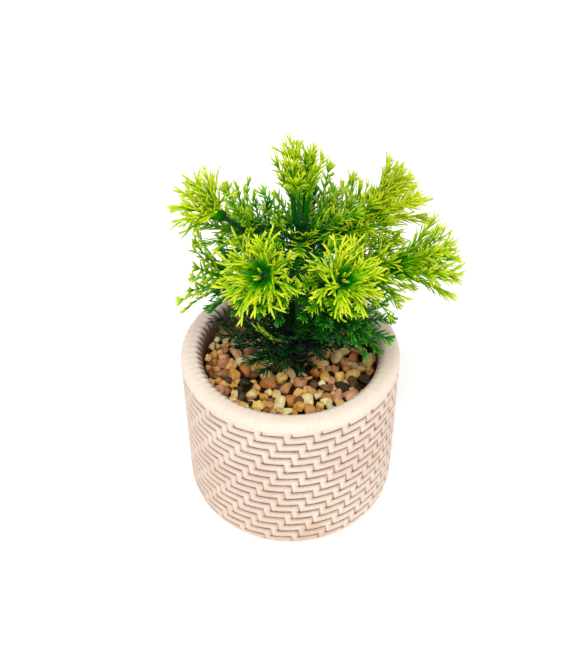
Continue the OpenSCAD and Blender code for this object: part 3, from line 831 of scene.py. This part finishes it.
# Branches: kind of end whorl, heading, rise over level, root height over the lip, reach to the end hub
# and strap length
SHAPES = [
    ("tuft", 198, 46, 47.5, 38, 21),
    ("rosette", 243, 43, 36.5, 33.5, 22),
    ("rosette", 299, 48, 29.0, 37.5, 18.5),
    ("pale", 22, 30, 46.0, 23, 23),
    ("plume", 349, 23, 34.5, 31, 24),
    ("frond", 180, 15, 30.0, 22, 22),
    ("dark", 317, 15, 24.5, 20, 17),
    ("frond", 133, 14, 36.0, 26, 21),
    ("frond", 75, 12, 40.0, 23, 21),
]
ROOT_OUT = 3.86                              # middle of a branch's ball from the stem's axis
INNER_SHARE = 0.5                            # place of the inner whorl along the reach
INNER_LENGTH, SHORT_LENGTH = 21, 14          # straps of an inner whorl, and of the dark branch's
# Brightness of the inner whorl and of the second ring behind it, for each kind of branch, darker than the
# ends': painted shade
INNER_GLOW = {"tuft": "dim", "rosette": "dim", "pale": "plume", "plume": "mid", "frond": "dusk",
              "dark": "night"}
BACK_GLOW = {"tuft": "dusk", "rosette": "dusk", "pale": "mid", "plume": "dim", "frond": "dusk",
             "dark": "night"}
END_SEED, INNER_SEED = 100, 200
# Places of the stem's whorls over the lip
MID_RISE, LOW_2_RISE, LOW_1_RISE, FOOT_RISE = 9, 4, -4, -8
COLLAR_RISE = CROWN_RISE - 10.5


def end_rings(kind, length):
    """Rings of an end whorl, as add_ring takes them."""
    if kind == "tuft":
        return [(rosette_strap, 8, length * 0.68, (15, 62), 0.0, "bright", 10, 0.33),
                (rosette_strap, 8, length * 0.62, (11, 42), 0.39, "bright", 8, 0.36)]
    if kind == "rosette":
        return [(rosette_strap, 8, length * 0.74, (26, 84), 0.0, "bright", 8, 0.33),
                (rosette_strap, 8, length * 0.62, (20, 64), 0.39, "bright", 6, 0.40)]
    if kind in ("pale", "plume"):
        return [(plume_strap, 9, length * 1.06, (12, 46), 0.35, kind, 9, 0.22),
                (plume_strap, 8, length * 1.04, (7, 32), 0.0, kind, 7, 0.26),
                (plume_strap, 4, length * 0.92, (3, 12), 0.2, kind, 5, 0.30)]
    if kind == "frond":
        return [(sprig_strap, 8, length, (22, 50), 0.0, "mid", 5, 0.3)]
    return [(frond_strap, 8, length, (22, 46), 0.0, "dusk", 7, 0.24)]


def build_branches():
    for k, (kind, heading, rise, root, reach, length) in enumerate(SHAPES, 1):
        body = f"branch_{k}"
        base = (on_stem(root) @ Matrix.Rotation(math.radians(heading), 4, "Z")
                @ Matrix.Translation((ROOT_OUT, 0, 0)) @ Matrix.Rotation(math.radians(90 - rise), 4, "Y"))
        end = base @ Matrix.Translation((0, 0, reach))
        inner = base @ Matrix.Translation((0, 0, reach * INNER_SHARE))
        buds = BUDS if kind == "rosette" else 0
        whorl(f"end_spray_{k}", f"branch_{k}_end_whorl", body, end, BRANCH_R,
              end_rings(kind, length), END_SEED + k, buds)
        inner_length = SHORT_LENGTH if kind == "dark" else INNER_LENGTH
        glow = INNER_GLOW[kind]
        if kind in ("pale", "plume"):
            rings = [(plume_strap, 9, 23, (14, 46), 0.22, glow, 7, 0.2),
                     (plume_strap, 6, 22, (6, 24), 0.5, glow, 6, 0.24),
                     (frond_strap, 8, 22, (34, 66), 0.1, glow, 7, 0.2)]
        else:
            rings = [(frond_strap, 9, inner_length, (18, 50), 0.22, glow, 8, 0.22)]
        behind = -reach * 0.3
        rings.append((frond_strap, 8, inner_length * 0.86, (26, 60), 0.5, BACK_GLOW[kind], 7, 0.22, behind))
        whorl(f"inner_spray_{k}", f"branch_{k}_inner_whorl", body, inner, BRANCH_R, rings, INNER_SEED + k)


def build_stem_whorls():
    """Whorls on the main stem. The middle one leaves room for the branches that bend over it."""
    turn = math.pi / 8
    crown = [(plume_strap, 9, 26, (1, 27), 0.35, "plume", 6, 0.46),
             (plume_strap, 7, 26, (0, 14), 0.1, "plume", 5, 0.50)]
    whorl("crown_spray", "crown_whorl", "plant", on_stem(CROWN_RISE), STEM_R, crown, 311)
    whorl("collar_spray", "collar_whorl", "plant", on_stem(COLLAR_RISE), STEM_R,
          [(frond_strap, 7, 19, (26, 50), turn, "dim", 6, 0.28),
           (frond_strap, 8, 22, (40, 78), 0.0, "dim", 7, 0.24),
           (frond_strap, 9, 20, (54, 92), 0.2, "dusk", 8, 0.2)], 302)
    mid = [(frond_strap, 8, 24, (40, 62), 3 * turn, "night", 8, 0.2, 0.0, (195, 255)),
           (frond_strap, 8, 25, (26, 44), turn, "night", 8, 0.22, 0.0, (195, 255)),
           (frond_strap, 7, 34, (10, 24), 0.1, "night", 10, 0.24, 0.0, (150, 330))]
    whorl("mid_spray", "mid_whorl", "plant", on_stem(MID_RISE), STEM_R, mid, 306)
    low = [(frond_strap, 9, 30, (50, 73), 2 * turn, "low", 9, 0.18, 0.0, (200, 352)),
           (frond_strap, 8, 25, (38, 60), turn, "low", 8, 0.18, 0.0, (200, 245)),
           (sprig_strap, 1, 32, (60, 30), math.radians(232), "tipped", 7, 0.46),
           (sprig_strap, 1, 24, (80, 70), math.radians(345), "plain", 3, 0.7),
           (frond_strap, 1, 33, (74, 86), math.radians(172), "low", 10, 0.18),
           (frond_strap, 1, 30, (66, 82), math.radians(194), "low", 9, 0.18),
           (frond_strap, 1, 17, (60, 74), math.radians(254), "shade", 8, 0.16),
           (frond_strap, 1, 18, (62, 76), math.radians(288), "shade", 8, 0.16)]
    whorl("low_spray_2", "low_whorl_2", "plant", on_stem(LOW_2_RISE), STEM_R, low, 303, low=True)
    whorl("low_spray_1", "low_whorl_1", "plant", on_stem(LOW_1_RISE), STEM_R,
          [(frond_strap, 9, 23, (60, 80), turn, "low", 8, 0.18, 0.0, (222, 338)),
           (frond_strap, 8, 19, (48, 66), 0.0, "low", 7, 0.2, 0.0, (240, 330)),
           (frond_strap, 14, 25, (58, 72), 0.1, "low", 9, 0.18, 0.0, (240, 360)),
          ], 304, low=True)
    whorl("foot_spray", "foot_whorl", "plant", on_stem(FOOT_RISE), STEM_R,
          [(frond_strap, 7, 8, (82, 100), 0.22, "low", 3, 0.2),
           (sprig_strap, 1, 16, (72, 78), math.radians(196), "plain", 5, 0.3)], 305, low=True)


# Solids that stay as they are and only get a better finish

def finish_solids():
    given = {"foam_plug": foam_material(), "gravel_bed": bed_material()}
    for name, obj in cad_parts.items():
        if name in given or name.endswith("_stem"):
            obj.data.materials.clear()
            obj.data.materials.append(given.get(name, STEM))


# Camera, floor and light

SENSOR_W = 36.0
PHOTO_W, FOCAL = 588.0, 1157.0               # width of the picture and focal length, in pixels
AIM, CAMERA_RISE, CAMERA_DIST = Vector((0.0015, 0.0, 0.087)), math.radians(43.0), 0.480
GROUND_HALF, GROUND_DROP = 1000, 0.2         # half width of the floor, and gap under the pot
GROUND_GLOW, FAR_GLOW = 0.32, 0.55           # own light of the floor in the middle, and its growth per metre
WORLD_LIGHT = 0.42
LAMP_COLOUR, LAMP_AIM = (1.0, 0.985, 0.96), Vector((0, 0, 0.09))


def seen_directly(tree):
    """1 for rays that show the background: from the camera, a gloss or a transmission."""
    path = tree.nodes.new("ShaderNodeLightPath")
    value = path.outputs["Is Camera Ray"]
    for other in ("Is Glossy Ray", "Is Transmission Ray"):
        node = tree.nodes.new("ShaderNodeMath")
        node.operation = "MAXIMUM"
        tree.links.new(value, node.inputs[0])
        tree.links.new(path.outputs[other], node.inputs[1])
        value = node.outputs[0]
    return value


def build_camera():
    cam = bpy.data.cameras.new("camera")
    cam.sensor_fit = "HORIZONTAL"
    cam.sensor_width = SENSOR_W
    cam.lens = SENSOR_W * FOCAL / PHOTO_W
    cam.clip_start = 0.01
    eye = bpy.data.objects.new("camera", cam)
    eye.location = AIM + CAMERA_DIST * Vector((0, -math.cos(CAMERA_RISE), math.sin(CAMERA_RISE)))
    eye.rotation_euler = (math.pi / 2 - CAMERA_RISE, 0, 0)
    bpy.context.scene.collection.objects.link(eye)
    bpy.context.scene.camera = eye


def build_floor():
    """White floor that keeps the shadow and shows no edge at the far end."""
    n = Nodes("floor")
    colour = n.ramp(n.noise(40.0, 3.0), [(0.3, srgb(250, 250, 249)), (0.7, srgb(253, 253, 252))])
    n.finish(colour, 0.9, 0.1)
    n.shader.inputs["Emission Color"].default_value = (1, 1, 1, 1)
    far = n.add("ShaderNodeVectorMath", operation="LENGTH")
    n.link(n.coords.outputs["Object"], far.inputs[0])
    glow = n.math("ADD", GROUND_GLOW, n.math("MULTIPLY", far.outputs["Value"], FAR_GLOW))
    n.link(n.math("MULTIPLY", seen_directly(n.tree), glow), n.shader.inputs["Emission Strength"])
    signs = ((-1, -1), (1, -1), (1, 1), (-1, 1))
    corners = [(x * GROUND_HALF, y * GROUND_HALF, -GROUND_DROP) for x, y in signs]
    new_object("floor", corners, [(0, 1, 2, 3)], n.mat)


def build_light():
    world = bpy.data.worlds.new("studio")
    bpy.context.scene.world = world
    world.use_nodes = True
    tree = world.node_tree
    back = tree.nodes["Background"]
    back.inputs["Color"].default_value = (1.0, 1.0, 1.0, 1)
    level = tree.nodes.new("ShaderNodeMapRange")
    tree.links.new(seen_directly(tree), level.inputs["Value"])
    level.inputs["To Min"].default_value = WORLD_LIGHT
    level.inputs["To Max"].default_value = 1.0
    tree.links.new(level.outputs["Result"], back.inputs["Strength"])

    def lamp(name, place, size, watts):
        light = bpy.data.lights.new(name, "AREA")
        light.shape = "DISK"
        light.size = size
        light.energy = watts
        light.color = LAMP_COLOUR
        obj = bpy.data.objects.new(name, light)
        obj.location = place
        obj.rotation_euler = (LAMP_AIM - Vector(place)).to_track_quat("-Z", "Y").to_euler()
        bpy.context.scene.collection.objects.link(obj)

    lamp("key", (-0.12, -0.60, 1.14), 0.45, 8.1)
    lamp("fill_right", (0.85, -0.4, 0.55), 0.7, 3.3)
    lamp("fill_left", (-0.85, -0.35, 0.55), 0.7, 2.2)


bpy.context.scene.view_settings.view_transform = "Standard"
build_camera()
build_floor()
build_light()
build_pot()
build_gravel()
build_branches()
build_stem_whorls()
finish_solids()
